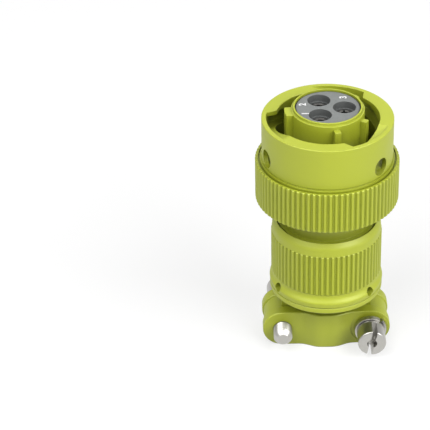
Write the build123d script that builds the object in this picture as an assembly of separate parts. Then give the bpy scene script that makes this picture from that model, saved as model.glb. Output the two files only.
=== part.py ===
from build123d import *
import os
from math import cos, pi, sin

# Twist-lock circular connector, standing on its cable clamp with the mating face up.
# Sizes are in mm. The axis is Z, the clamp bars lie along X, and the front bar is on the -Y side.
# Heights stack up from the bars, and radii grow outwards from the bore of the mating barrel.

# Clearances
running_gap = 0.08          # radial, for what turns or slides
seat_gap = 0.05             # each side, for a piece held in a groove or pocket
tooth_gap = 0.05            # each side, for the meshing face teeth
screw_fit = 0.03            # radial, between a screw and its tapped hole
screw_hole_gap = 0.15       # radial, where a screw passes freely
overcut = 1.0               # how far a cutter runs past the face it opens

# Clamp screws and spring washers
screw_x = 9.75
screw_radius = 2.05
screw_pitch = 0.7
screw_thread_depth = 0.22
screw_tip_beyond_bar = 3.85
screw_tip_chamfer = 0.8
head_step = 1.05            # radial, from the screw out to its head
head_height = 4.4
head_edge_radius = 0.4
slot_width = 1.1
slot_depth = 3.9
slot_tilt = 12.0
head_recess_radius = 1.1
head_recess_depth = 2.2
washer_bore_gap = 0.1       # radial, round the screw
washer_rim_step = 0.4       # radial, beyond the head
washer_thickness = 1.05
washer_rise = 0.9           # how far the open coil's two ends stand apart
washer_gap_angle = 14.0
washer_split_angle = 48.0

# Clamp bars
bar_height = 8.6
bar_inner_y = 2.2
bar_thickness = 2.85
bar_end_step = 0.05         # from the screw's axis out to the centre of the bar's round end
bar_inner_bow = 1.9
bar_inner_crest_half = 1.5
bar_outer_bow = 1.45
bar_outer_crest_half = 1.0
bar_outer_bow_half = 6.4
bar_edge_fillet = 0.3
spot_face_step = 0.95       # radial, beyond the washer
spot_face_depth = 0.15

# Clamp body: hub with cable bore, cup, stems and screw eyes
clamp_neck_height = 4.7     # from the bars up to the nut's rear face
clamp_hub_recess = 0.2      # from the nut's rear face up to the hub's
clamp_floor_thickness = 2.8
clamp_land_length = 3.3
clamp_land_step = 1.3       # from the land up to the shell's rear face
clamp_hub_gap = 0.5         # radial, inside the nut's rear bore
clamp_cup_step = 0.1        # radial, outside the shell's rear cavity
cable_bore_radius = 5.3
cable_bow_step = 0.1        # from the bore's side out to the start of the bars' inner bow
cable_groove_depth = 0.25
cable_groove_pitch = 0.8
cable_groove_count = 3
stem_step = 0.05            # the stems' outer faces beyond the hub
stem_above_hub_face = 0.4
eye_inset = 0.25            # the eyes' edge inside the bars' edge

# Snap ring between nut and clamp body
snap_ring_depth = 0.9       # from the hub's rear face up to the ring
snap_ring_thickness = 0.8
snap_ring_width = 1.0
snap_ring_bite = 0.27       # radial, into the nut
snap_ring_shoulder = 0.2    # from the ring up to the clamp body's land
snap_groove_gap = 0.17      # radial, behind the ring
snap_gap_angle = 15.0

# Plug shell: barrel with keys, flange and hub, neck, rear barrel, thread and end teeth
barrel_bore_radius = 7.0
barrel_wall = 0.8
barrel_above_rim = 2.65
barrel_land_width = 0.35
barrel_step_depth = 0.6
barrel_edge_chamfer = 0.05
key_height = 1.4            # radial, beyond the barrel
main_key_width = 3.5
main_key_angle = 186.0
main_key_below_top = 0.7
minor_key_width = 1.3
minor_key_angles = (-79.0, -27.9, 44.0, 93.0)
minor_key_below_top = 1.4
flange_thickness = 2.0
flange_above_shoulder = 0.5
hub_length = 6.3            # from the hub's rear face to the flange's front face
hub_chamfer = 0.25
hub_step = 1.1              # radial, from the hub in to the rear barrel
neck_depth = 1.0            # radial, from the rear barrel in to the neck under the hub
oring_seat_length = 1.9     # from the thread up to the neck
thread_step = 0.3           # radial, from the rear barrel in to the thread
thread_length = 8.7
thread_pitch = 1.0
thread_depth = 0.4
shell_cavity_step = 1.5     # radial, from the barrel's bore out to the rear cavity
shell_cavity_length = 25.0
tooth_count = 24
tooth_height = 0.8
tooth_slot_width = 1.25

# Seals
oring_setback = 1.1         # from the thread up to the ring's middle
oring_section_radius = 0.45
oring_groove_depth = 0.7
seal_key_gap = 0.2          # radial, outside the keys
seal_mouth_gap = 0.36       # radial, inside the coupling ring's mouth
seal_thickness = 0.9

# Coupling ring: smooth collar, bead, round groove and fluted grip
ring_length = 19.32
mouth_depth = 10.3          # from the flange's front face up to the rim
mouth_key_gap = 1.86        # radial, from the keys out to the ring's mouth
mouth_step = 1.94           # radial, from the mouth out to the cavity
spring_room = 1.3           # radial, from the cavity in to the hub
track_relief = 0.05         # radial, from the cavity out to the tracks' floor
collar_skin = 1.0           # radial, left outside the tracks
collar_length = 9.6
rim_chamfer = 0.1
foot_groove_depth = 0.15
foot_groove_height = 0.3
bead_step = 0.35            # radial, beyond the collar
bead_height = 0.33
moat_width = 0.4
moat_depth = 0.5
grip_step = 1.4             # radial, beyond the collar
grip_top_chamfer = 0.2
grip_rear_chamfer = 0.2
flute_count = 82
flute_depth = 0.42
flute_top_width = 0.8
flute_floor_width = 0.2
ring_rear_bore_step = 0.5   # radial, beyond the cavity

# Bayonet tracks inside the collar, one for each end hole
end_hole_angles = (-39.5, 80.5, 200.5)
end_hole_radius = 2.0
end_hole_below_rim = 7.15
track_start_angle = 22.0    # counted from the end hole, where the ramp meets the rim
track_mouth_angle = 54.0
track_end_angle = -129.0
track_drop_per_degree = 0.0636
entry_wall_offset = 6.5     # from the end hole's axis to the straight wall of the entry
entry_lip = 1.0

# Retaining ring, thrust washer and wave spring behind the flange
retaining_ring_thickness = 1.0
retaining_ring_setback = 0.15   # from the hub's rear face down to the ring
retaining_ring_hub_gap = 0.15
retaining_ring_bite = 0.4   # radial, into the coupling ring's rear bore
retaining_ring_split = 1.2
thrust_washer_thickness = 0.6
thrust_washer_hub_gap = 0.1
wave_spring_side_gap = 0.2
wave_spring_strip = 0.3
wave_spring_waves = 4

# Inserts, wire seal and contacts
insert_below_top = 0.4
insert_gap = 0.28           # radial, between the barrel bore and the front insert
insert_flange_thickness = 1.5
insert_flange_gap = 0.1     # radial, between the shell's cavity and the front insert's flange
insert_joint_gap = 0.1      # height left between one insert and the next
rear_insert_length = 11.8
grommet_gap = 0.2           # radial, between the shell's cavity and what fills its rear
grommet_floor_gap = 0.15
wire_hole_radius = 1.5
contact_count = 3
contact_pitch_radius = 3.51
contact_bore_radius = 1.45
contact_bore_depth = 9.3
contact_wall = 0.55
contact_setback = 0.1       # from the cavity mouth's floor down to the contact
contact_slit_width = 0.4
contact_slit_length = 6.5
contact_waist_step = 0.4    # radial, from the socket in to the waist
contact_waist_lead = 0.6    # from the front insert's rear face up to the waist
contact_collar_step = 0.3   # radial, beyond the socket
contact_collar_depth = 4.9  # from the rear insert's front face down to the collar
contact_collar_thickness = 1.5
cavity_mouth_step = 0.45    # radial, beyond the socket
cavity_mouth_depth = 1.6
crimp_step = 0.1            # radial, from the socket in to the crimp barrel
crimp_wall = 0.5
crimp_length = 12.0
crimp_bore_depth = 6.5
crimp_sight_hole_radius = 0.4
clip_length = 4.4
clip_wall = 0.3
clip_gap_angle = 50.0

# Backshell nut: plain rim, line, rounded flange, knurl and rounded shoulder
nut_front_overlap = 2.2     # from the thread up to the nut's front face
nut_flange_length = 4.3
nut_flange_step = 0.28      # radial, beyond the knurl
nut_flange_chamfer = 0.3
nut_line_height = 1.4
nut_line_depth = 0.3
nut_line_half = 0.2
nut_bulge_step = 0.07       # radial, beyond the flange
nut_bulge_drop = 1.75       # from the flange's front end down to the bulge
nut_neck_step = 0.3         # radial, from the knurl in to the neck
nut_neck_length = 0.4
knurl_step = 1.07           # radial, beyond the mouth's bore
knurl_length = 9.7
knurl_count = 65
knurl_depth = 0.4
knurl_top_width = 0.78
knurl_floor_width = 0.2
nut_shoulder_step = 0.15    # radial, from the knurl in to the shoulder
nut_shoulder_taper = 0.07
nut_shoulder_height = 1.3
nut_shoulder_round = 2.0
nut_mouth_gap = 0.4         # radial, round the shell's rear barrel
nut_mouth_lip = 0.15
nut_mouth_bore_depth = 2.9
nut_rear_bore_step = 0.05   # radial, beyond the thread
nut_thread_start = 0.2      # from the shell's rear face down to the end of the nut's thread
nut_edge_chamfer = 0.3
spanner_hole_angles = (-151.8, -41.2, 84.0)
spanner_hole_radius = 1.0
spanner_hole_depth = 1.3
spanner_hole_height = 2.75

# Heights that follow, from the bars up
eye_z = bar_height / 2
nut_rear_z = bar_height + clamp_neck_height
hub_rear_face_z = nut_rear_z + clamp_hub_recess
clamp_floor_z = hub_rear_face_z + clamp_floor_thickness
snap_ring_z = hub_rear_face_z + snap_ring_depth
clamp_land_low_z = snap_ring_z + snap_ring_thickness + snap_ring_shoulder
clamp_land_high_z = clamp_land_low_z + clamp_land_length
shell_rear_z = clamp_land_high_z + clamp_land_step
thread_front_z = shell_rear_z + thread_length
oring_z = thread_front_z + oring_setback
nut_front_z = thread_front_z + nut_front_overlap
shell_shoulder_z = shell_rear_z + shell_cavity_length
flange_front_z = shell_shoulder_z + flange_above_shoulder
flange_rear_z = flange_front_z - flange_thickness
hub_rear_z = flange_front_z - hub_length
retaining_ring_z = hub_rear_z - retaining_ring_setback
ring_rim_z = flange_front_z + mouth_depth
ring_rear_z = ring_rim_z - ring_length
collar_foot_z = ring_rim_z - collar_length
grip_top_z = collar_foot_z - bead_height
barrel_top_z = ring_rim_z + barrel_above_rim
insert_front_z = barrel_top_z - insert_below_top
insert_rear_z = shell_shoulder_z - insert_flange_thickness
rear_insert_front_z = insert_rear_z - insert_joint_gap
rear_insert_rear_z = rear_insert_front_z - rear_insert_length
grommet_front_z = rear_insert_rear_z - insert_joint_gap
grommet_rear_z = clamp_floor_z + grommet_floor_gap
cavity_floor_z = insert_front_z - cavity_mouth_depth
contact_front_z = cavity_floor_z - contact_setback
contact_waist_z = insert_rear_z + contact_waist_lead
contact_collar_z = rear_insert_front_z - contact_collar_depth
contact_rear_z = contact_collar_z - crimp_length

# Radii that follow, from the barrel's bore out, then back in to the thread
barrel_radius = barrel_bore_radius + barrel_wall
key_radius = barrel_radius + key_height
mouth_radius = key_radius + mouth_key_gap
cavity_radius = mouth_radius + mouth_step
flange_radius = cavity_radius - running_gap
hub_radius = cavity_radius - spring_room
rear_barrel_radius = hub_radius - hub_step
neck_radius = rear_barrel_radius - neck_depth
thread_radius = rear_barrel_radius - thread_step
oring_groove_radius = rear_barrel_radius - oring_groove_depth
shell_cavity_radius = barrel_bore_radius + shell_cavity_step
grommet_radius = shell_cavity_radius - grommet_gap
track_outer_radius = cavity_radius + track_relief
collar_radius = track_outer_radius + collar_skin
bead_radius = collar_radius + bead_step
grip_radius = collar_radius + grip_step
ring_rear_bore_radius = cavity_radius + ring_rear_bore_step
retaining_groove_radius = ring_rear_bore_radius + retaining_ring_bite
nut_mouth_bore_radius = rear_barrel_radius + nut_mouth_gap
nut_mouth_radius = nut_mouth_bore_radius + nut_mouth_lip
knurl_radius = nut_mouth_bore_radius + knurl_step
nut_shoulder_radius = knurl_radius - nut_shoulder_step
nut_neck_radius = knurl_radius - nut_neck_step
nut_flange_radius = knurl_radius + nut_flange_step
thread_bore_radius = thread_radius + running_gap
nut_rear_bore_radius = thread_radius + nut_rear_bore_step
snap_ring_outer_radius = nut_rear_bore_radius + snap_ring_bite
snap_ring_inner_radius = snap_ring_outer_radius - snap_ring_width
clamp_land_radius = nut_rear_bore_radius - running_gap
clamp_hub_radius = nut_rear_bore_radius - clamp_hub_gap
clamp_cup_radius = shell_cavity_radius + clamp_cup_step

# Radii that follow, from the contacts' bore out
contact_radius = contact_bore_radius + contact_wall
contact_collar_radius = contact_radius + contact_collar_step
cavity_mouth_radius = contact_radius + cavity_mouth_step
insert_hole_radius = contact_radius + seat_gap
clip_pocket_radius = contact_collar_radius + 2 * seat_gap
crimp_radius = contact_radius - crimp_step

# Clamp places that follow from the screws and bars
bar_outer_y = bar_inner_y + bar_thickness
screw_seat_y = bar_outer_y - spot_face_depth
bar_end_centre_x = screw_x + bar_end_step
bar_end_x = bar_end_centre_x + bar_height / 2
bar_inner_bow_half = cable_bore_radius + cable_bow_step
eye_radius = bar_height / 2 - eye_inset
head_radius = screw_radius + head_step
washer_inner_radius = screw_radius + washer_bore_gap
washer_outer_radius = head_radius + washer_rim_step
spot_face_radius = washer_outer_radius + spot_face_step


def disc(radius, z_low, z_high):
    """Solid cylinder about Z between two heights."""
    return extrude(Pos(0, 0, z_low) * Circle(radius), amount=z_high - z_low)


def tube(outer_radius, inner_radius, z_low, z_high):
    """Plain round tube about Z between two heights."""
    return disc(outer_radius, z_low, z_high) - disc(inner_radius, z_low, z_high)


def turned(profile, corner=None, corner_radius=0):
    """Solid of revolution about Z from (radius, height) points, with one corner rounded if asked."""
    face = make_face(Polyline([(radius, 0, height) for radius, height in profile], close=True))
    if corner:
        place = Vector(corner[0], 0, corner[1])
        face = fillet(face.vertices().sort_by_distance(place)[0], corner_radius)
    return revolve(face, Axis.Z)


def thread_profile(crest_radius, root_radius, pitch, z_from, z_to):
    """Points of a thread's grooves, drawn as rings, from one height towards another."""
    step = pitch if z_to > z_from else -pitch
    points = []
    for i in range(int(abs(z_to - z_from) / pitch)):
        groove_z = z_from + step * (i + 0.5)
        points.append((crest_radius, groove_z - step * 0.4))
        points.append((root_radius, groove_z))
        points.append((crest_radius, groove_z + step * 0.4))
    return points


def sector(inner_radius, outer_radius, low_angle, high_angle, z):
    """Flat piece of a ring between two angles, at one height."""
    span = high_angle - low_angle
    outer = CenterArc((0, 0), outer_radius, low_angle, span)
    inner = CenterArc((0, 0), inner_radius, low_angle, span)
    sides = [Line(inner @ 0, outer @ 0), Line(inner @ 1, outer @ 1)]
    return Pos(0, 0, z) * make_face([outer, inner] + sides)


def radial_hole(radius, angle, z, r_from, r_to):
    """Round cutter that points outwards from the axis."""
    cutter = extrude(Plane.YZ * Circle(radius), amount=r_to - r_from)
    return Rot(0, 0, angle) * Pos(r_from, 0, z) * cutter


def flutes(count, radius, depth, top_width, floor_width, z_low, z_high):
    """Ring of upright V bars that cut the flutes of a grip."""
    slope = (top_width - floor_width) / (2 * depth)
    top_half = top_width / 2 + slope * depth / 2
    corners = [
        (radius - depth, -floor_width / 2),
        (radius - depth, floor_width / 2),
        (radius + depth / 2, top_half),
        (radius + depth / 2, -top_half),
    ]
    bar = make_face(Polyline(corners, close=True))
    cutters = [Rot(0, 0, 360 * i / count) * bar for i in range(count)]
    return extrude(Pos(0, 0, z_low) * (Sketch() + cutters), amount=z_high - z_low)


def ring_blank():
    """Turned shape of the coupling ring."""
    groove_z = collar_foot_z + foot_groove_height
    moat_floor_z = grip_top_z - moat_depth
    slot_low_z = retaining_ring_z - seat_gap
    slot_high_z = retaining_ring_z + retaining_ring_thickness + seat_gap
    return turned([
        (mouth_radius, flange_front_z),
        (mouth_radius, ring_rim_z - rim_chamfer),
        (mouth_radius + rim_chamfer, ring_rim_z),
        (collar_radius - rim_chamfer, ring_rim_z),
        (collar_radius, ring_rim_z - rim_chamfer),
        (collar_radius, groove_z),
        (collar_radius - foot_groove_depth, groove_z - foot_groove_depth / 2),
        (collar_radius - foot_groove_depth, collar_foot_z),
        (bead_radius, collar_foot_z),
        (bead_radius, moat_floor_z),
        (bead_radius + moat_width, moat_floor_z),
        (bead_radius + moat_width, grip_top_z),
        (grip_radius - grip_top_chamfer, grip_top_z),
        (grip_radius, grip_top_z - grip_top_chamfer),
        (grip_radius, ring_rear_z + grip_rear_chamfer),
        (grip_radius - grip_rear_chamfer, ring_rear_z),
        (ring_rear_bore_radius, ring_rear_z),
        (ring_rear_bore_radius, slot_low_z),
        (retaining_groove_radius, slot_low_z),
        (retaining_groove_radius, slot_high_z),
        (cavity_radius, slot_high_z),
        (cavity_radius, flange_front_z),
    ])


def bayonet_track():
    """Cutter for one ramp, placed for an end hole at angle 0: entry, helix and lip."""
    high = track_start_angle + overcut / 2 / track_drop_per_degree
    top_z = ring_rim_z + overcut / 2
    turn = high - track_end_angle
    height = turn * track_drop_per_degree
    inner = mouth_radius - overcut / 2
    mouth = sector(inner, track_outer_radius, high - track_mouth_angle, high, top_z)
    helix = Solid.extrude_linear_with_rotation(mouth.face(), (0, 0, top_z), (0, 0, -height), turn)
    pie = sector(inner - overcut, collar_radius, track_end_angle, track_start_angle + overcut, 0)
    ramp = helix & extrude(pie, amount=top_z)
    lip = Pos(0, -entry_wall_offset, ring_rim_z - entry_lip) * Box(
        collar_radius * 2, collar_radius, entry_lip + overcut, align=(Align.MIN, Align.MAX, Align.MIN)
    )
    entry = Pos(inner - overcut * 2, -entry_wall_offset, ring_rim_z - entry_lip) * Box(
        collar_radius, overcut, entry_lip + overcut, align=(Align.MIN, Align.MIN, Align.MIN)
    )
    return (ramp - lip) + (entry & disc(track_outer_radius, 0, ring_rim_z + overcut))


def coupling_ring():
    """Twist ring with fluted grip, bayonet ramps and end holes."""
    ring = ring_blank()
    ring -= flutes(
        flute_count, grip_radius, flute_depth, flute_top_width, flute_floor_width,
        ring_rear_z - overcut, grip_top_z + overcut / 2,
    )
    hole_z = ring_rim_z - end_hole_below_rim
    for angle in end_hole_angles:
        ring -= Rot(0, 0, angle) * bayonet_track()
        ring -= radial_hole(end_hole_radius, angle, hole_z, mouth_radius - overcut, collar_radius + overcut)
    return ring


def retaining_ring():
    """Polished split ring in the coupling ring's groove."""
    outer = retaining_groove_radius - seat_gap
    z_high = retaining_ring_z + retaining_ring_thickness
    ring = tube(outer, hub_radius + retaining_ring_hub_gap, retaining_ring_z, z_high)
    gap = Pos(0, outer, retaining_ring_z - overcut) * Box(
        retaining_ring_split, outer, overcut * 3, align=(Align.CENTER, Align.CENTER, Align.MIN)
    )
    return ring - gap


def thrust_washer():
    """Flat washer behind the flange."""
    outer = cavity_radius - 2 * running_gap
    inner = hub_radius + thrust_washer_hub_gap
    return tube(outer, inner, flange_rear_z - thrust_washer_thickness, flange_rear_z)


def wave_edge(radius, z_mid, rise):
    """Closed wavy curve on a cylinder."""
    steps = wave_spring_waves * 8
    points = []
    for i in range(steps):
        turn = 2 * pi * i / steps
        points.append((radius * cos(turn), radius * sin(turn), z_mid + rise * cos(wave_spring_waves * turn)))
    return Edge.make_spline([Vector(*p) for p in points], periodic=True)


def wave_spring():
    """Wavy strip between the retaining ring and the thrust washer."""
    inner = hub_radius + wave_spring_side_gap
    outer = cavity_radius - wave_spring_side_gap
    z_low = retaining_ring_z + retaining_ring_thickness
    z_high = flange_rear_z - thrust_washer_thickness
    rise = (z_high - z_low - wave_spring_strip) / 2
    z_mid = (z_low + z_high) / 2
    edges = {}
    for side, radius in (("in", inner), ("out", outer)):
        edges[side, "low"] = wave_edge(radius, z_mid - wave_spring_strip / 2, rise)
        edges[side, "high"] = wave_edge(radius, z_mid + wave_spring_strip / 2, rise)
    pairs = [
        (edges["in", "low"], edges["in", "high"]),
        (edges["out", "low"], edges["out", "high"]),
        (edges["in", "low"], edges["out", "low"]),
        (edges["in", "high"], edges["out", "high"]),
    ]
    faces = [Face.make_surface_from_curves(first, second) for first, second in pairs]
    return Solid(Shell(faces))


def shell_blank():
    """Turned shape of the plug shell."""
    land_radius = barrel_bore_radius + barrel_land_width
    step_z = barrel_top_z - barrel_step_depth
    groove_half = oring_section_radius + seat_gap
    thread_low_z = shell_rear_z + tooth_height + hub_chamfer
    thread = thread_profile(
        thread_radius, thread_radius - thread_depth, thread_pitch, thread_front_z, thread_low_z
    )
    return turned([
        (barrel_bore_radius, barrel_top_z),
        (land_radius - barrel_edge_chamfer, barrel_top_z),
        (land_radius, barrel_top_z - barrel_edge_chamfer),
        (land_radius, step_z + barrel_edge_chamfer),
        (barrel_radius - barrel_edge_chamfer, step_z),
        (barrel_radius, step_z - barrel_edge_chamfer),
        (barrel_radius, flange_front_z),
        (flange_radius, flange_front_z),
        (flange_radius, flange_rear_z),
        (hub_radius, flange_rear_z),
        (hub_radius, hub_rear_z + hub_chamfer),
        (hub_radius - hub_chamfer, hub_rear_z),
        (neck_radius, hub_rear_z),
        (neck_radius, thread_front_z + oring_seat_length),
        (rear_barrel_radius, thread_front_z + oring_seat_length),
        (rear_barrel_radius, oring_z + groove_half),
        (oring_groove_radius, oring_z + groove_half),
        (oring_groove_radius, oring_z - groove_half),
        (rear_barrel_radius, oring_z - groove_half),
        (rear_barrel_radius, thread_front_z),
        (thread_radius, thread_front_z),
    ] + thread + [
        (thread_radius, shell_rear_z),
        (shell_cavity_radius, shell_rear_z),
        (shell_cavity_radius, shell_shoulder_z),
        (barrel_bore_radius, shell_shoulder_z),
    ])


def barrel_key(angle, width, top_z):
    """One key on the outside of the barrel."""
    middle = (barrel_bore_radius + barrel_radius) / 2
    bar = Pos(middle, 0, flange_front_z) * Box(
        key_radius, width, top_z - flange_front_z, align=(Align.MIN, Align.CENTER, Align.MIN)
    )
    return Rot(0, 0, angle) * (bar & disc(key_radius, flange_front_z, top_z))


def face_teeth(width, inner_radius, outer_radius, z_low, z_high):
    """Ring of radial bars, for the teeth between shell and clamp body."""
    length = outer_radius - inner_radius
    bar = Pos(inner_radius, 0, z_low) * Box(
        length, width, z_high - z_low, align=(Align.MIN, Align.CENTER, Align.MIN)
    )
    return Part() + [Rot(0, 0, 360 * i / tooth_count) * bar for i in range(tooth_count)]


def plug_shell():
    """Inner shell that the coupling ring turns on."""
    shell = shell_blank()
    shell += barrel_key(main_key_angle, main_key_width, barrel_top_z - main_key_below_top)
    for angle in minor_key_angles:
        shell += barrel_key(angle, minor_key_width, barrel_top_z - minor_key_below_top)
    slots = face_teeth(
        tooth_slot_width, shell_cavity_radius - overcut, thread_radius + overcut,
        shell_rear_z - overcut, shell_rear_z + tooth_height,
    )
    return shell - slots


def shell_seal():
    """Flat rubber ring on the flange."""
    outer = mouth_radius - seal_mouth_gap
    inner = key_radius + seal_key_gap
    return tube(outer, inner, flange_front_z, flange_front_z + seal_thickness)


def backshell_oring():
    """Round-section seal in the shell's rear groove."""
    section = Pos(oring_groove_radius + oring_section_radius, 0, oring_z) * (
        Plane.XZ * Circle(oring_section_radius)
    )
    return revolve(section, Axis.Z)


def contact_spots():
    """Places of the contacts, seen from the mating side."""
    spots = []
    for i in range(contact_count):
        spots.append(Rot(0, 0, 360 * i / contact_count) * Pos(contact_pitch_radius, 0, 0))
    return spots


def front_insert():
    """Insulator with the contact cavities of the mating face."""
    insert = disc(barrel_bore_radius - insert_gap, insert_rear_z, insert_front_z)
    insert += disc(shell_cavity_radius - insert_flange_gap, insert_rear_z, shell_shoulder_z)
    for spot in contact_spots():
        insert -= spot * disc(insert_hole_radius, insert_rear_z - overcut, insert_front_z)
        insert -= spot * disc(cavity_mouth_radius, cavity_floor_z, insert_front_z + overcut)
    return insert


def rear_insert():
    """Insulator that holds the contact clips."""
    insert = disc(grommet_radius, rear_insert_rear_z, rear_insert_front_z)
    pocket_top_z = contact_collar_z + contact_collar_thickness + seat_gap
    for spot in contact_spots():
        insert -= spot * disc(insert_hole_radius, rear_insert_rear_z, rear_insert_front_z + overcut)
        insert -= spot * disc(clip_pocket_radius, rear_insert_rear_z - overcut, pocket_top_z)
    return insert


def wire_grommet():
    """Silicone wire seal with one hole for each wire."""
    grommet = disc(grommet_radius, grommet_rear_z, grommet_front_z)
    for spot in contact_spots():
        grommet -= spot * disc(wire_hole_radius, grommet_rear_z - overcut, grommet_front_z)
        grommet -= spot * disc(crimp_radius + seat_gap, contact_rear_z - seat_gap, grommet_front_z + overcut)
    return grommet


def contact_blank():
    """Turned shape of one socket contact, on the Z axis."""
    bore_floor_z = contact_front_z - contact_bore_depth
    collar_top_z = contact_collar_z + contact_collar_thickness
    waist_radius = contact_radius - contact_waist_step
    crimp_bore_radius = crimp_radius - crimp_wall
    return turned([
        (0, bore_floor_z),
        (contact_bore_radius, bore_floor_z),
        (contact_bore_radius, contact_front_z - contact_wall / 2),
        (contact_bore_radius + contact_wall / 2, contact_front_z),
        (contact_radius, contact_front_z - contact_wall / 3),
        (contact_radius, contact_waist_z),
        (waist_radius, contact_waist_z),
        (waist_radius, collar_top_z),
        (contact_collar_radius, collar_top_z),
        (contact_collar_radius, contact_collar_z),
        (crimp_radius, contact_collar_z),
        (crimp_radius, contact_rear_z),
        (crimp_bore_radius, contact_rear_z),
        (crimp_bore_radius, contact_rear_z + crimp_bore_depth),
        (0, contact_rear_z + crimp_bore_depth),
    ])


def contact():
    """Socket contact with a split mouth and a crimp barrel with a sight hole."""
    piece = contact_blank()
    piece -= Pos(0, 0, contact_front_z + overcut) * Box(
        contact_slit_width, contact_radius * 3, contact_slit_length + overcut,
        align=(Align.CENTER, Align.CENTER, Align.MAX),
    )
    sight_z = contact_rear_z + crimp_bore_depth - 2 * crimp_sight_hole_radius
    piece -= radial_hole(crimp_sight_hole_radius, 90, sight_z, 0, crimp_radius + overcut)
    return piece


def contact_clip():
    """Split retention sleeve behind the contact's collar."""
    inner = crimp_radius + seat_gap
    low_z = contact_collar_z - clip_length
    sleeve = tube(inner + clip_wall, inner, low_z, contact_collar_z - seat_gap)
    gap = sector(inner / 2, contact_collar_radius * 2, 90 - clip_gap_angle / 2, 90 + clip_gap_angle / 2, low_z)
    return sleeve - extrude(gap, amount=clip_length)


def nut_outside():
    """Outer outline of the backshell nut without its bulge, from the rear face to the front face."""
    knurl_low_z = nut_rear_z + nut_flange_length + nut_neck_length
    knurl_high_z = knurl_low_z + knurl_length
    line_z = nut_rear_z + nut_line_height
    half_chamfer = nut_edge_chamfer / 2
    return [
        (nut_flange_radius - nut_flange_chamfer, nut_rear_z),
        (nut_flange_radius, nut_rear_z + nut_flange_chamfer),
        (nut_flange_radius, line_z - nut_line_half),
        (nut_flange_radius - nut_line_depth, line_z),
        (nut_flange_radius, line_z + nut_line_half),
        (nut_neck_radius, line_z + nut_line_half),
        (nut_neck_radius, knurl_low_z - half_chamfer),
        (knurl_radius, knurl_low_z + half_chamfer),
        (knurl_radius, knurl_high_z),
        (nut_shoulder_radius, knurl_high_z + half_chamfer),
        nut_shoulder_corner(),
        (nut_mouth_radius, nut_front_z),
    ]


def nut_shoulder_corner():
    """Point of the nut's outline where the shoulder turns in towards the mouth."""
    return (nut_shoulder_radius - nut_shoulder_taper, nut_front_z - nut_shoulder_height)


def nut_inside():
    """Inner outline of the backshell nut, from the front face to the rear face."""
    groove_low_z = snap_ring_z - seat_gap
    groove_high_z = snap_ring_z + snap_ring_thickness + seat_gap
    groove_radius = snap_ring_outer_radius + running_gap
    bore_top_z = shell_rear_z - nut_thread_start
    mouth_floor_z = nut_front_z - nut_mouth_bore_depth
    thread_top_z = mouth_floor_z - nut_edge_chamfer
    return [
        (nut_mouth_bore_radius, nut_front_z),
        (nut_mouth_bore_radius, mouth_floor_z),
        (thread_bore_radius, thread_top_z),
    ] + thread_profile(
        thread_bore_radius, thread_bore_radius + thread_depth, thread_pitch, thread_top_z, bore_top_z
    ) + [
        (thread_bore_radius, bore_top_z),
        (nut_rear_bore_radius, bore_top_z),
        (nut_rear_bore_radius, groove_high_z),
        (groove_radius, groove_high_z),
        (groove_radius, groove_low_z),
        (nut_rear_bore_radius, groove_low_z),
        (nut_rear_bore_radius, nut_rear_z + nut_edge_chamfer),
        (nut_rear_bore_radius + nut_edge_chamfer, nut_rear_z),
    ]


def nut_bulge():
    """Rounded ring between the nut's line and its neck."""
    low_z = nut_rear_z + nut_line_height + nut_line_half
    high_z = nut_rear_z + nut_flange_length
    inner = nut_neck_radius - overcut / 2
    side = Spline(
        (nut_flange_radius, 0, low_z),
        (nut_flange_radius + nut_bulge_step, 0, high_z - nut_bulge_drop),
        (nut_neck_radius, 0, high_z),
        tangents=((0, 0, 1), (0, 0, 1)),
    )
    rest = Polyline(
        (nut_neck_radius, 0, high_z), (inner, 0, high_z), (inner, 0, low_z), (nut_flange_radius, 0, low_z)
    )
    return revolve(make_face([side, rest]), Axis.Z)


def backshell_nut():
    """Knurled nut that pulls the clamp body onto the shell."""
    nut = turned(nut_outside() + nut_inside(), nut_shoulder_corner(), nut_shoulder_round)
    nut += nut_bulge()
    knurl_low_z = nut_rear_z + nut_flange_length + nut_neck_length / 2
    nut -= flutes(
        knurl_count, knurl_radius, knurl_depth, knurl_top_width, knurl_floor_width,
        knurl_low_z, knurl_low_z + nut_neck_length / 2 + knurl_length + nut_edge_chamfer / 2,
    )
    hole_z = nut_rear_z + spanner_hole_height
    floor_radius = nut_flange_radius - spanner_hole_depth
    for angle in spanner_hole_angles:
        nut -= radial_hole(spanner_hole_radius, angle, hole_z, floor_radius, nut_flange_radius + overcut)
    return nut


def snap_ring():
    """Split ring that holds the nut on the clamp body."""
    ring = tube(
        snap_ring_outer_radius, snap_ring_inner_radius, snap_ring_z, snap_ring_z + snap_ring_thickness
    )
    half = snap_gap_angle / 2
    gap = sector(snap_ring_inner_radius / 2, snap_ring_outer_radius * 2, 90 - half, 90 + half, snap_ring_z)
    return ring - extrude(gap, amount=snap_ring_thickness)


def cable_bore_outline():
    """Grooved wall of the cable bore, from its rear edge up to the cup's floor."""
    points = [(cable_bore_radius + cable_groove_depth, hub_rear_face_z)]
    points.append((cable_bore_radius, hub_rear_face_z + cable_groove_depth))
    half = cable_groove_depth * 0.8
    for i in range(cable_groove_count):
        groove_z = hub_rear_face_z + cable_groove_pitch * (i + 1)
        points.append((cable_bore_radius, groove_z - half))
        points.append((cable_bore_radius + cable_groove_depth, groove_z))
        points.append((cable_bore_radius, groove_z + half))
    points.append((cable_bore_radius, clamp_floor_z))
    return points


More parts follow.
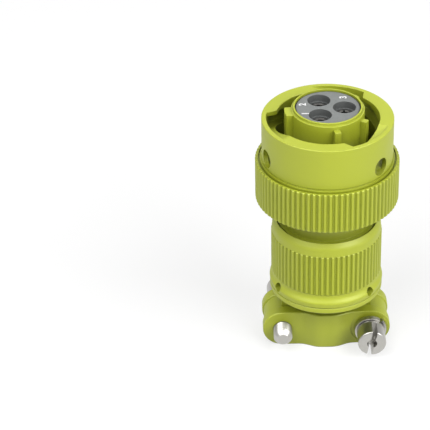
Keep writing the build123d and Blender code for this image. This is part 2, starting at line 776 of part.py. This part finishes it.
def clamp_hub():
    """Turned hub of the clamp body."""
    groove_low_z = snap_ring_z - seat_gap
    groove_high_z = snap_ring_z + snap_ring_thickness + seat_gap
    groove_radius = snap_ring_inner_radius - snap_groove_gap
    return turned(cable_bore_outline() + [
        (clamp_cup_radius, clamp_floor_z),
        (clamp_cup_radius, shell_rear_z),
        (clamp_hub_radius, shell_rear_z),
        (clamp_hub_radius, clamp_land_high_z),
        (clamp_land_radius, clamp_land_high_z),
        (clamp_land_radius, clamp_land_low_z),
        (clamp_hub_radius, clamp_land_low_z),
        (clamp_hub_radius, groove_high_z),
        (groove_radius, groove_high_z),
        (groove_radius, groove_low_z),
        (clamp_hub_radius, groove_low_z),
        (clamp_hub_radius, hub_rear_face_z),
    ])


def clamp_ear():
    """Stem and screw eye on the +X side."""
    stem_top_z = hub_rear_face_z + stem_above_hub_face
    stem_outer_x = clamp_hub_radius + stem_step
    stem = Pos(cable_bore_radius, 0, eye_z) * Box(
        stem_outer_x - cable_bore_radius, 2 * bar_inner_y, stem_top_z - eye_z,
        align=(Align.MIN, Align.CENTER, Align.MIN),
    )
    eye = Pos(screw_x, 0, eye_z) * extrude(Plane.XZ * Circle(eye_radius), amount=bar_inner_y, both=True)
    hole = Pos(screw_x, 0, eye_z) * extrude(
        Plane.XZ * Circle(screw_radius + screw_hole_gap), amount=bar_inner_y + overcut, both=True
    )
    return stem + eye - hole


def clamp_body():
    """Strain relief body: hub, face teeth and two screw eyes."""
    body = clamp_hub()
    teeth = face_teeth(
        tooth_slot_width - 2 * tooth_gap, clamp_cup_radius - overcut, clamp_hub_radius + overcut,
        shell_rear_z - tooth_height, shell_rear_z + tooth_height - tooth_gap,
    )
    body += teeth & tube(clamp_hub_radius, clamp_cup_radius, clamp_land_high_z, shell_rear_z + tooth_height)
    for turn in (0, 180):
        body += Rot(0, 0, turn) * clamp_ear()
    return body


def bar_edge(y, bow, crest_half, bow_half):
    """Bowed edge of a clamp bar in plan, from -X to +X."""
    crest = y + bow
    level = ((1, 0), (1, 0))
    return [
        Line((-bar_end_x, y), (-bow_half, y)),
        Spline((-bow_half, y), (-crest_half, crest), tangents=level),
        Line((-crest_half, crest), (crest_half, crest)),
        Spline((crest_half, crest), (bow_half, y), tangents=level),
        Line((bow_half, y), (bar_end_x, y)),
    ]


def bar_blank():
    """Bowed bar behind the ears, with round ends and soft edges."""
    inner = bar_edge(bar_inner_y, bar_inner_bow, bar_inner_crest_half, bar_inner_bow_half)
    outer = bar_edge(bar_outer_y, bar_outer_bow, bar_outer_crest_half, bar_outer_bow_half)
    ends = [Line((x, bar_inner_y), (x, bar_outer_y)) for x in (-bar_end_x, bar_end_x)]
    reach = bar_outer_y + bar_outer_bow + overcut
    side_view = Plane.XZ * Pos(0, eye_z) * SlotCenterToCenter(2 * bar_end_centre_x, bar_height)
    bar = extrude(make_face(inner + outer + ends), amount=bar_height)
    bar &= extrude(side_view, amount=reach, both=True)
    return fillet(bar.edges(), bar_edge_fillet)


def clamp_bar():
    """Clamp bar on the +Y side: head hole at -X, tapped hole at +X."""
    bar = bar_blank()
    reach = bar_outer_y + bar_outer_bow + overcut
    clearance_radius = screw_radius + screw_hole_gap
    tapped_radius = screw_radius + screw_fit
    bar -= Pos(-screw_x, screw_seat_y, eye_z) * extrude(Plane.XZ * Circle(spot_face_radius), amount=-reach)
    bar -= Pos(-screw_x, 0, eye_z) * extrude(Plane.XZ * Circle(clearance_radius), amount=-reach)
    bar -= Pos(screw_x, 0, eye_z) * extrude(Plane.XZ * Circle(tapped_radius), amount=-reach)
    return bar


def screw_seat(piece):
    """Moves a piece drawn on Z to the front screw's seat, its +Z end towards -Y."""
    return Pos(screw_x, -screw_seat_y, eye_z) * Rot(90, 0, 0) * piece


def screw():
    """Slotted cheese-head screw, its head on the open spring washer."""
    seat = washer_thickness + washer_rise + seat_gap
    top = seat + head_height
    tip = -screw_seat_y - bar_outer_y - screw_tip_beyond_bar
    thread = thread_profile(
        screw_radius, screw_radius - screw_thread_depth, screw_pitch, tip + screw_tip_chamfer, seat
    )
    piece = turned([
        (0, tip),
        (screw_radius - screw_tip_chamfer, tip),
        (screw_radius, tip + screw_tip_chamfer),
    ] + thread + [
        (screw_radius, seat),
        (head_radius, seat),
        (head_radius, top),
        (0, top),
    ], (head_radius, top), head_edge_radius)
    piece -= Rot(0, 0, -slot_tilt) * Pos(0, 0, top) * Box(
        slot_width, head_radius * 3, 2 * slot_depth, align=(Align.CENTER, Align.CENTER, Align.CENTER)
    )
    return piece - disc(head_recess_radius, top - head_recess_depth, top + overcut)


def spring_washer():
    """Split lock washer, one turn of a left-hand coil that rises from the bar to the screw head."""
    middle = (washer_inner_radius + washer_outer_radius) / 2
    width = washer_outer_radius - washer_inner_radius
    turns = 1 - washer_gap_angle / 360
    path = Helix(pitch=washer_rise / turns, height=washer_rise, radius=middle, lefthand=True)
    section = Plane.XZ * Pos(middle, 0) * Rectangle(width, washer_thickness)
    coil = sweep(section, path=path, is_frenet=True)
    return Rot(0, 0, washer_split_angle - washer_gap_angle / 2) * Pos(0, 0, washer_thickness / 2) * coil


def all_pieces():
    """Every node by name."""
    pieces = {
        "coupling_ring": coupling_ring(),
        "retaining_ring": retaining_ring(),
        "wave_spring": wave_spring(),
        "thrust_washer": thrust_washer(),
        "plug_shell": plug_shell(),
        "shell_seal": shell_seal(),
        "front_insert": front_insert(),
        "rear_insert": rear_insert(),
        "wire_grommet": wire_grommet(),
        "backshell_oring": backshell_oring(),
        "backshell_nut": backshell_nut(),
        "snap_ring": snap_ring(),
        "clamp_body": clamp_body(),
        "back_bar": clamp_bar(),
        "front_bar": Rot(0, 0, 180) * clamp_bar(),
        "front_screw": screw_seat(screw()),
        "back_screw": Rot(0, 0, 180) * screw_seat(screw()),
        "front_spring_washer": screw_seat(spring_washer()),
        "back_spring_washer": Rot(0, 0, 180) * screw_seat(spring_washer()),
    }
    for number, spot in enumerate(contact_spots(), start=1):
        pieces[f"contact_{number}"] = spot * contact()
        pieces[f"contact_clip_{number}"] = spot * contact_clip()
    return pieces


os.makedirs("parts", exist_ok=True)
for name, piece in all_pieces().items():
    export_step(piece, f"parts/{name}.step")
    box = piece.bounding_box()
    print(f"{name}: volume {piece.volume:.1f}, z {box.min.Z:.2f} to {box.max.Z:.2f}")
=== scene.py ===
# %% [markdown]
# A twist-lock cable connector on its clamp
#
# The real connector is a set of turned and moulded pieces: a coupling ring round a keyed shell, an
# insert with three contacts, a nut, and a cable clamp with two screws. They come ready from the
# solid model, which holds round bores and exact clearances better than meshes made here would. This
# lesson sets up the camera and the studio, gives each piece its finish, and adds what is printed on
# the connector or too fine for the solids.

# %% Load the solid pieces
from math import cos, pi, radians, sin

import bpy
from mathutils import Matrix, Vector


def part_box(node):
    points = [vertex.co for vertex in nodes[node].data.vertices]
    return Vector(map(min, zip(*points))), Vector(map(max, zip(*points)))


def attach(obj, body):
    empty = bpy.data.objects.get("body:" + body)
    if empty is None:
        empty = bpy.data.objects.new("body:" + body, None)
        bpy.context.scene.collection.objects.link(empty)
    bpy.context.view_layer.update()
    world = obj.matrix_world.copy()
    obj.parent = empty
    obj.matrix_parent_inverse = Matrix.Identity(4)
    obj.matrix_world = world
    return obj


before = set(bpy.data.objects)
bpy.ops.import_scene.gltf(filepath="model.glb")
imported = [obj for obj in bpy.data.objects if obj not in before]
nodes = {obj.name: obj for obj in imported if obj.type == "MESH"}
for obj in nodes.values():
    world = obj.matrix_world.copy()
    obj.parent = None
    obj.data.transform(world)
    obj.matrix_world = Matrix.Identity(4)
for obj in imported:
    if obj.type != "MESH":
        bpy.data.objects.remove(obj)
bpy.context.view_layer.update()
MM = 0.001

# %% [markdown]
# The camera
#
# A long lens looks down at the mating face. The camera could be pushed about by eye until the
# picture fits, but then nothing tells why it stands there. So its place is worked out from the front
# rim of the coupling ring: the rim's centre lies at a known depth along the view, a little right of
# the lens's centre and well above it. The lens itself is shifted sideways, as the connector stands
# in the right half of the picture.

# %% Place the camera
PICTURE = 430
SENSOR_WIDTH = 36
FOCAL_PIXELS = 2180
VIEW_DOWN = radians(33.3)
VIEW_TURN = radians(-2.0)
RIM_DEPTH = 460 * MM
RIM_PIXEL = (327.75, 116.7)
LENS_CENTRE = (287, 215)
NEAR_CLIP = 20 * MM

forward = Vector((0, cos(VIEW_DOWN), -sin(VIEW_DOWN)))
upward = Vector((0, sin(VIEW_DOWN), cos(VIEW_DOWN)))
across = (LENS_CENTRE[0] - RIM_PIXEL[0]) * RIM_DEPTH / FOCAL_PIXELS
above = (RIM_PIXEL[1] - LENS_CENTRE[1]) * RIM_DEPTH / FOCAL_PIXELS
rim_centre = Vector((0, 0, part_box("coupling_ring")[1].z))

camera_data = bpy.data.cameras.new("camera")
camera_data.sensor_width = SENSOR_WIDTH
camera_data.lens = SENSOR_WIDTH * FOCAL_PIXELS / PICTURE
camera_data.shift_x = (PICTURE / 2 - LENS_CENTRE[0]) / PICTURE
camera_data.clip_start = NEAR_CLIP
camera = bpy.data.objects.new("camera", camera_data)
bpy.context.scene.collection.objects.link(camera)
turn = Matrix.Rotation(VIEW_TURN, 3, "Z")
camera.location = rim_centre + turn @ (-RIM_DEPTH * forward + across * Vector((1, 0, 0)) + above * upward)
camera.rotation_euler = (pi / 2 - VIEW_DOWN, 0, VIEW_TURN)
bpy.context.scene.camera = camera
print(f"lens {camera_data.lens:.0f} mm, camera at {tuple(round(c, 3) for c in camera.location)}")

# %% [markdown]
# The lamps
#
# Small metal parts are photographed under large soft lamps, which leave broad highlights and soft
# shadows. A picture of a studio wrapped round the scene would do that too, but its lights can't be
# moved one by one. So three square area lamps hang here: two big ones high in front, left and right,
# and a weak one behind. Colours stay as they are written, so the view transform is Standard.

# %% Hang the lamps
AIM_HEIGHT = 30 * MM
bpy.context.scene.view_settings.view_transform = "Standard"


def soft_lamp(name, place, size, power):
    """Square area lamp that faces the connector. Place and size are in metres, power in watts."""
    data = bpy.data.lights.new(name, "AREA")
    data.size = size
    data.energy = power
    lamp = bpy.data.objects.new(name, data)
    bpy.context.scene.collection.objects.link(lamp)
    lamp.location = Vector(place)
    aim = Vector((0, 0, AIM_HEIGHT)) - lamp.location
    lamp.rotation_euler = aim.to_track_quat("-Z", "Y").to_euler()
    print(name, power, "W")


soft_lamp("lamp_left", place=(-0.5, -0.52, 0.85), size=0.85, power=10.8)
soft_lamp("lamp_right", place=(0.65, -0.55, 0.7), size=0.85, power=13.4)
soft_lamp("lamp_back", place=(0.0, 0.5, 0.8), size=0.5, power=1.5)

# %% [markdown]
# The room round the lamps
#
# The room gives little light of its own, so what the coupling ring overhangs stays dark. Metal shows
# a room that is dim in front and brighter towards the back, as steel in an even room looks like grey
# plastic. The camera sees a plain pale backdrop past the paper. One world does all three, because
# Light Path tells which kind of ray is asking.

# %% Helper for sums in a node tree


def math_node(tree, operation, first, second):
    """Math node with two inputs, each a socket or a number."""
    node = tree.nodes.new("ShaderNodeMath")
    node.operation = operation
    for socket, value in zip(node.inputs, (first, second)):
        if isinstance(value, (int, float)):
            socket.default_value = value
        else:
            tree.links.new(value, socket)
    return node.outputs[0]


# %% Light the room
ROOM_LIGHT = 0.04
BACKDROP_LIGHT = 1.0
# What a mirrored ray meets, and how far it points to the back (+Y) where it does
MIRRORED_DIM, MIRRORED_BRIGHT = 0.25, 0.7
DIM_UP_TO, BRIGHT_FROM = -0.9, 0.3

world = bpy.data.worlds.new("studio")
bpy.context.scene.world = world
world.use_nodes = True
room_tree = world.node_tree
room_tree.nodes.clear()
light_path = room_tree.nodes.new("ShaderNodeLightPath")
direction = room_tree.nodes.new("ShaderNodeTexCoord")
split = room_tree.nodes.new("ShaderNodeSeparateXYZ")
room = room_tree.nodes.new("ShaderNodeMapRange")
room.inputs["From Min"].default_value = DIM_UP_TO
room.inputs["From Max"].default_value = BRIGHT_FROM
room.inputs["To Min"].default_value = MIRRORED_DIM
room.inputs["To Max"].default_value = MIRRORED_BRIGHT
room_tree.links.new(direction.outputs["Generated"], split.inputs[0])
room_tree.links.new(split.outputs["Y"], room.inputs["Value"])

in_mirror = math_node(room_tree, "MAXIMUM", light_path.outputs["Is Glossy Ray"],
                      light_path.outputs["Is Transmission Ray"])
mirrored = room_tree.nodes.new("ShaderNodeMix")
mirrored.inputs["A"].default_value = ROOM_LIGHT
room_tree.links.new(in_mirror, mirrored.inputs["Factor"])
room_tree.links.new(room.outputs["Result"], mirrored.inputs["B"])
strength = room_tree.nodes.new("ShaderNodeMix")
strength.inputs["B"].default_value = BACKDROP_LIGHT
room_tree.links.new(light_path.outputs["Is Camera Ray"], strength.inputs["Factor"])
room_tree.links.new(mirrored.outputs["Result"], strength.inputs["A"])
background = room_tree.nodes.new("ShaderNodeBackground")
world_out = room_tree.nodes.new("ShaderNodeOutputWorld")
room_tree.links.new(strength.outputs["Result"], background.inputs["Strength"])
room_tree.links.new(background.outputs[0], world_out.inputs[0])
print("room light", ROOM_LIGHT, "and in mirrors", MIRRORED_DIM, "to", MIRRORED_BRIGHT)

# %% [markdown]
# The paper
#
# The connector stands on white paper. Plain white paper needs strong lamps to come out white, and
# under those the plating would be too bright. So this paper is grey under the lamps, and where it is
# seen, straight or mirrored in metal, it also glows a little. The two add up to white, and the soft
# shadow under the clamp stays. The glow lights nothing else.

# %% Lay the paper
PAPER_HALF = 1.5
paper_mesh = bpy.data.meshes.new("paper")
corners = [(-PAPER_HALF, -PAPER_HALF, 0), (PAPER_HALF, -PAPER_HALF, 0), (PAPER_HALF, PAPER_HALF, 0),
           (-PAPER_HALF, PAPER_HALF, 0)]
paper_mesh.from_pydata(corners, [], [(0, 1, 2, 3)])
paper = bpy.data.objects.new("paper", paper_mesh)
bpy.context.scene.collection.objects.link(paper)
print("paper", 2 * PAPER_HALF, "m square")

# %% Make the paper white
PAPER_COLOR = (0.3, 0.3, 0.3, 1)
PAPER_GLOW = 0.66
NO_GLOW = (0, 0, 0, 1)

paper_finish = bpy.data.materials.new("white_paper")
paper_finish.use_nodes = True
paper_tree = paper_finish.node_tree
paper_tree.nodes.clear()
matt = paper_tree.nodes.new("ShaderNodeBsdfDiffuse")
matt.inputs["Color"].default_value = PAPER_COLOR
glow = paper_tree.nodes.new("ShaderNodeEmission")
glow.inputs["Strength"].default_value = PAPER_GLOW
unseen = paper_tree.nodes.new("ShaderNodeBsdfTransparent")
unseen.inputs["Color"].default_value = NO_GLOW
glow_if_seen = paper_tree.nodes.new("ShaderNodeMixShader")
both = paper_tree.nodes.new("ShaderNodeAddShader")
paper_out = paper_tree.nodes.new("ShaderNodeOutputMaterial")
ray = paper_tree.nodes.new("ShaderNodeLightPath")
seen = ray.outputs["Is Camera Ray"]
for kind in ("Is Glossy Ray", "Is Transmission Ray"):
    seen = math_node(paper_tree, "MAXIMUM", seen, ray.outputs[kind])
paper_tree.links.new(seen, glow_if_seen.inputs["Fac"])
paper_tree.links.new(unseen.outputs[0], glow_if_seen.inputs[1])
paper_tree.links.new(glow.outputs[0], glow_if_seen.inputs[2])
paper_tree.links.new(matt.outputs[0], both.inputs[0])
paper_tree.links.new(glow_if_seen.outputs[0], both.inputs[1])
paper_tree.links.new(both.outputs[0], paper_out.inputs["Surface"])
paper_mesh.materials.append(paper_finish)
print("material", paper_finish.name, "glows", PAPER_GLOW)

# %% [markdown]
# Two effects that the finishes share
#
# Machined edges are never knife sharp. Cutting a small round into every mesh would cost many faces,
# so a Bevel node rounds only the shading across each edge, and a painted highlight makes the colour
# a little lighter there. And no coat is perfectly even: a coarse noise shifts its tone a little and
# a fine one gives it grain. Deep hollows get a painted shade, a darker colour where little light
# finds its way out of them. Both effects are node groups, so that each finish can set its own
# amounts.

# %% Helper for node groups


def group_with(name, inputs, outputs):
    """Empty node group with named sockets, and its input and output nodes."""
    group = bpy.data.node_groups.new(name, "ShaderNodeTree")
    for label, kind, value in inputs:
        socket = group.interface.new_socket(label, in_out="INPUT", socket_type=kind)
        socket.default_value = value
    for label, kind in outputs:
        group.interface.new_socket(label, in_out="OUTPUT", socket_type=kind)
    return group, group.nodes.new("NodeGroupInput"), group.nodes.new("NodeGroupOutput")


# %% Rounded edges
FLOAT, COLOR, VECTOR = "NodeSocketFloat", "NodeSocketColor", "NodeSocketVector"
BEVEL_SAMPLES = 6
EDGE_GAIN = 4.0

rounded_edges, inside, outside = group_with(
    "rounded_edges", [("Radius", FLOAT, 0.15 * MM)], [("Normal", VECTOR), ("Edge", FLOAT)]
)
bevel = rounded_edges.nodes.new("ShaderNodeBevel")
bevel.samples = BEVEL_SAMPLES
geometry = rounded_edges.nodes.new("ShaderNodeNewGeometry")
compare = rounded_edges.nodes.new("ShaderNodeVectorMath")
compare.operation = "DOT_PRODUCT"
rounded_edges.links.new(inside.outputs["Radius"], bevel.inputs["Radius"])
rounded_edges.links.new(bevel.outputs["Normal"], compare.inputs[0])
rounded_edges.links.new(geometry.outputs["Normal"], compare.inputs[1])
bend = math_node(rounded_edges, "SUBTRACT", 1.0, compare.outputs["Value"])
edge = math_node(rounded_edges, "MULTIPLY", bend, EDGE_GAIN)
rounded_edges.links.new(bevel.outputs["Normal"], outside.inputs["Normal"])
rounded_edges.links.new(edge, outside.inputs["Edge"])
print("group", rounded_edges.name)

# %% Noise for the uneven coat
NOISE_MIDDLE = 0.5

uneven_coat, inside, outside = group_with(
    "uneven_coat",
    [("Color", COLOR, (0.5, 0.5, 0.5, 1)), ("Roughness", FLOAT, 0.4), ("Tone change", FLOAT, 0.06),
     ("Patch size", FLOAT, 4 * MM), ("Grain size", FLOAT, 0.12 * MM), ("Edge", FLOAT, 0.0),
     ("Painted edge highlight", FLOAT, 0.1), ("Hollow shade", FLOAT, 0.0)],
    [("Color", COLOR), ("Roughness", FLOAT), ("Height", FLOAT)],
)
place = uneven_coat.nodes.new("ShaderNodeTexCoord")


def noise_of(size_socket, detail):
    """Noise above and below zero, whose blobs have the size that a socket gives in metres."""
    noise = uneven_coat.nodes.new("ShaderNodeTexNoise")
    noise.inputs["Detail"].default_value = detail
    uneven_coat.links.new(place.outputs["Object"], noise.inputs["Vector"])
    uneven_coat.links.new(math_node(uneven_coat, "DIVIDE", 1.0, size_socket), noise.inputs["Scale"])
    return math_node(uneven_coat, "SUBTRACT", noise.outputs["Fac"], NOISE_MIDDLE)


patches = noise_of(inside.outputs["Patch size"], detail=4.0)
grain = noise_of(inside.outputs["Grain size"], detail=2.0)
print("group", uneven_coat.name, "with", len(inside.outputs) - 1, "inputs")

# %% Painted shade of the hollows
HOLLOW_REACH = 9 * MM
HOLLOW_SAMPLES = 8

hollows = uneven_coat.nodes.new("ShaderNodeAmbientOcclusion")
hollows.inputs["Distance"].default_value = HOLLOW_REACH
hollows.samples = HOLLOW_SAMPLES
closed_in = math_node(uneven_coat, "SUBTRACT", 1.0, hollows.outputs["AO"])
darker = math_node(uneven_coat, "MULTIPLY", closed_in, inside.outputs["Hollow shade"])
openness = math_node(uneven_coat, "SUBTRACT", 1.0, darker)
print("walls count up to", round(HOLLOW_REACH / MM), "mm away")

# %% Tone and gloss of the coat, with a painted edge highlight and painted hollow shade
GLOSS_CHANGE = 0.15

drift = math_node(uneven_coat, "MULTIPLY", patches, inside.outputs["Tone change"])
speck = math_node(uneven_coat, "MULTIPLY", grain, inside.outputs["Tone change"])
# Painted highlight: the colour is made a little lighter along edges, as if they caught the lamps.
edge_highlight = math_node(uneven_coat, "MULTIPLY", inside.outputs["Edge"], inside.outputs["Painted edge highlight"])
tone = math_node(uneven_coat, "ADD", math_node(uneven_coat, "ADD", drift, speck), edge_highlight)
# Painted shade: the colour is made darker in hollows, the more closed in a point is.
tone_with_painted_light = math_node(uneven_coat, "MULTIPLY", math_node(uneven_coat, "ADD", tone, 1.0), openness)
shade = uneven_coat.nodes.new("ShaderNodeVectorMath")
shade.operation = "SCALE"
uneven_coat.links.new(inside.outputs["Color"], shade.inputs[0])
uneven_coat.links.new(tone_with_painted_light, shade.inputs["Scale"])
dulling = math_node(uneven_coat, "MULTIPLY", patches, GLOSS_CHANGE)
gloss = math_node(uneven_coat, "ADD", inside.outputs["Roughness"], dulling)
uneven_coat.links.new(shade.outputs[0], outside.inputs["Color"])
uneven_coat.links.new(gloss, outside.inputs["Roughness"])
uneven_coat.links.new(grain, outside.inputs["Height"])
print("group", uneven_coat.name, "has", len(uneven_coat.nodes), "nodes")

# %% [markdown]
# The finishes
#
# Each finish is one Principled shader. What is the same all over, such as how metallic it is, is
# set on the shader. What changes over the surface comes from the two groups. The materials could
# each be wired by hand, but they differ only in amounts, so one function builds them all.

# %% Helper that builds a finish
RELIEF_PER_GRAIN = 0.25


def finish_of(name, color, roughness, metallic=0.0, tone=0.06, patch=4.0, grain=0.12, bump=0.1,
              edge_radius=0.12, painted_edge_highlight=0.1, hollow=0.0, **settings):
    """Material with rounded edges, an uneven coat, a painted edge highlight, painted hollow shade and
    fixed shader settings. Sizes are in mm.
    """
    material = bpy.data.materials.new(name)
    material.use_nodes = True
    tree = material.node_tree
    shader = tree.nodes["Principled BSDF"]
    edges = tree.nodes.new("ShaderNodeGroup")
    edges.node_tree = rounded_edges
    edges.inputs["Radius"].default_value = edge_radius * MM
    coat = tree.nodes.new("ShaderNodeGroup")
    coat.node_tree = uneven_coat
    coat.inputs["Color"].default_value = (*color, 1)
    coat.inputs["Roughness"].default_value = roughness
    coat.inputs["Tone change"].default_value = tone
    coat.inputs["Patch size"].default_value = patch * MM
    coat.inputs["Grain size"].default_value = grain * MM
    coat.inputs["Painted edge highlight"].default_value = painted_edge_highlight
    coat.inputs["Hollow shade"].default_value = hollow
    relief = tree.nodes.new("ShaderNodeBump")
    relief.inputs["Strength"].default_value = bump
    relief.inputs["Distance"].default_value = grain * MM * RELIEF_PER_GRAIN
    tree.links.new(edges.outputs["Edge"], coat.inputs["Edge"])
    tree.links.new(coat.outputs["Height"], relief.inputs["Height"])
    tree.links.new(edges.outputs["Normal"], relief.inputs["Normal"])
    tree.links.new(coat.outputs["Color"], shader.inputs["Base Color"])
    tree.links.new(coat.outputs["Roughness"], shader.inputs["Roughness"])
    tree.links.new(relief.outputs["Normal"], shader.inputs["Normal"])
    shader.inputs["Metallic"].default_value = metallic
    for socket, value in settings.items():
        shader.inputs[socket.replace("_", " ")].default_value = value
    return material


# %% Helper that dresses solid pieces


def dress(material, *names):
    """Gives each of these solid pieces one material all over."""
    for name in names:
        mesh = nodes[name].data
        mesh.materials.clear()
        mesh.materials.append(material)
    print(material.name, "on", ", ".join(names))


# %% [markdown]
# Olive plating
#
# The shells, the nut and the clamp are aluminium with a yellow-green plating. It is satin: the
# lamps show as broad pale bands, and the tone changes only a little. A fully metallic shader would
# colour those bands and turn dark wherever the room is dark. The real plating looks more like a
# coat of paint with a strong shine, so it is hardly metallic and gets its shine from a high IOR.

# %% Plate the aluminium
# The plating's colour gets painted shade in hollows and a faint painted highlight along edges.
olive_plating = finish_of("olive_plating", color=(0.43, 0.485, 0.016), roughness=0.5, metallic=0.1,
                          tone=0.08, bump=0.2, painted_edge_highlight=0.03, hollow=0.5, IOR=1.8)
dress(olive_plating, "coupling_ring", "plug_shell", "backshell_nut", "clamp_body", "front_bar", "back_bar")

# %% [markdown]
# Steel
#
# Screws and washers are nickel plated and bright. The retaining ring behind the coupling ring is
# polished spring steel, like the wavy spring, the washer and the snap ring inside. Bare metal shows
# little but what it mirrors, so both finishes are fully metallic and differ in roughness: on the
# nickel the lamps blur, and on the polished steel they stay sharp.

# %% Bright and polished steel
nickel_plate = finish_of("nickel_plate", color=(0.5, 0.49, 0.46), roughness=0.36, metallic=1.0, tone=0.2,
                         bump=0.2, edge_radius=0.03)
dress(nickel_plate, "front_screw", "back_screw", "front_spring_washer", "back_spring_washer")
polished_steel = finish_of("polished_steel", color=(0.75, 0.75, 0.76), roughness=0.12, metallic=1.0,
                           tone=0.05, bump=0.05)
dress(polished_steel, "retaining_ring", "wave_spring", "thrust_washer", "snap_ring")

# %% [markdown]
# Plastic and rubber
#
# The insert is a mid grey moulding, satin and finely mottled, with small patches in its tone. Its
# cavities look much darker than its face. Paint on their walls would do that in one picture, but the
# painted hollow shade darkens the colour by the shape, so it also holds from other sides. The wire
# seal is blue-green silicone, and the seals of shell and nut are black rubber. Both are dull, and a
# strong bump keeps them from looking like hard plastic.

# %% Mould the plastic and the rubber
# The insert's colour gets the strongest painted shade, deep in its cavities.
insert_grey = finish_of("insert_grey", color=(0.19, 0.2, 0.195), roughness=0.45, tone=0.3, patch=1.0,
                        grain=0.2, bump=0.2, hollow=0.75)
dress(insert_grey, "front_insert", "rear_insert")
silicone_teal = finish_of("silicone_teal", color=(0.02, 0.22, 0.22), roughness=0.55, tone=0.12, bump=0.3)
dress(silicone_teal, "wire_grommet")
black_rubber = finish_of("black_rubber", color=(0.02, 0.02, 0.02), roughness=0.6, tone=0.2, bump=0.3)
dress(black_rubber, "shell_seal", "backshell_oring")

# %% [markdown]
# Contacts and clips
#
# The contacts are silver plated, and down in their cavities they look dull and dark. Bright silver
# would be truer to a new contact on the bench, but it would glint out of the cavities, so their
# colour is painted nearly black as painted shade. The clips that hold the contacts are bright bronze.

# %% Plate the contacts
# Painted shade: the silver is coloured nearly black, for the dark cavities.
silver_in_painted_shade = finish_of("silver_in_painted_shade", color=(0.07, 0.068, 0.064), roughness=0.5, metallic=1.0, tone=0.1,
                         bump=0.05)
dress(silver_in_painted_shade, "contact_1", "contact_2", "contact_3")
clip_bronze = finish_of("clip_bronze", color=(0.6, 0.36, 0.18), roughness=0.3, metallic=1.0, tone=0.06,
                        bump=0.05)
dress(clip_bronze, "contact_clip_1", "contact_clip_2", "contact_clip_3")

# %% [markdown]
# Contact numbers
#
# Each cavity has its number beside it in white ink, a thin print on the insert's face. A mask in the
# insert's material could show it too, but a font curve has clean outlines at any size, so each
# number is a text object that is hardly thicker than ink. Its offset makes the strokes bold. The
# numbers are read with the wide key on top, so on the standing connector they lie on their side.

# %% Print the contact numbers
INK_THICKNESS = 0.01 * MM
NUMBER_SIZE = 2.1 * MM
NUMBER_BOLDNESS = 0.065 * MM
# Each number's middle across the insert's face, in mm
NUMBER_PLACES = {"1": (-4.75, -2.35), "2": (-5.24, 1.43), "3": (3.49, 4.14)}

white_ink = finish_of("white_ink", color=(0.8, 0.8, 0.8), roughness=0.6, tone=0.15, patch=0.4, grain=0.05)
insert_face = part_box("front_insert")[1].z
for number, (x, y) in NUMBER_PLACES.items():
    letter = bpy.data.curves.new(f"contact_number_{number}", "FONT")
    letter.body = number
    letter.size = NUMBER_SIZE
    letter.extrude = INK_THICKNESS
    letter.offset = NUMBER_BOLDNESS
    letter.align_x = "CENTER"
    letter.align_y = "CENTER"
    letter.materials.append(white_ink)
    mark = bpy.data.objects.new(letter.name, letter)
    bpy.context.scene.collection.objects.link(mark)
    mark.location = (x * MM, y * MM, insert_face + INK_THICKNESS)
    mark.rotation_euler.z = pi / 2
    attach(mark, "shell")
print("printed", len(NUMBER_PLACES), "numbers")

# %% [markdown]
# Bead round the insert
#
# A black line shows between the insert and the barrel. An open gap would show the barrel's olive
# wall instead, so a thin black bead fills it, a small ring that rides on the shell. A squeezed
# torus would touch the walls in one line each. The gap is narrow and deep, so the bead is a small
# rectangle turned round the connector's axis.

# %% Fill the gap round the insert
BEAD_INSIDE, BEAD_OUTSIDE = 6.74 * MM, 6.98 * MM
BEAD_TOP_DEPTH, BEAD_BOTTOM_DEPTH = 0.1 * MM, 1.1 * MM
BEAD_STEPS = 120

profile = [(BEAD_INSIDE, BEAD_BOTTOM_DEPTH), (BEAD_INSIDE, BEAD_TOP_DEPTH),
           (BEAD_OUTSIDE, BEAD_TOP_DEPTH), (BEAD_OUTSIDE, BEAD_BOTTOM_DEPTH)]
sides = len(profile)
bead_points = []
bead_faces = []
for step in range(BEAD_STEPS):
    angle = 2 * pi * step / BEAD_STEPS
    for radius, depth in profile:
        bead_points.append((radius * cos(angle), radius * sin(angle), insert_face - depth))
    first = sides * step
    second = sides * ((step + 1) % BEAD_STEPS)
    for side in range(sides):
        after = (side + 1) % sides
        bead_faces.append((first + side, second + side, second + after, first + after))
bead_mesh = bpy.data.meshes.new("insert_bead")
bead_mesh.from_pydata(bead_points, [], bead_faces)
# The bead takes the black rubber finish, so the gap shows as a black line.
bead_mesh.materials.append(black_rubber)
bead = bpy.data.objects.new("insert_bead", bead_mesh)
bpy.context.scene.collection.objects.link(bead)
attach(bead, "shell")
print("bead of", len(bead_faces), "faces")
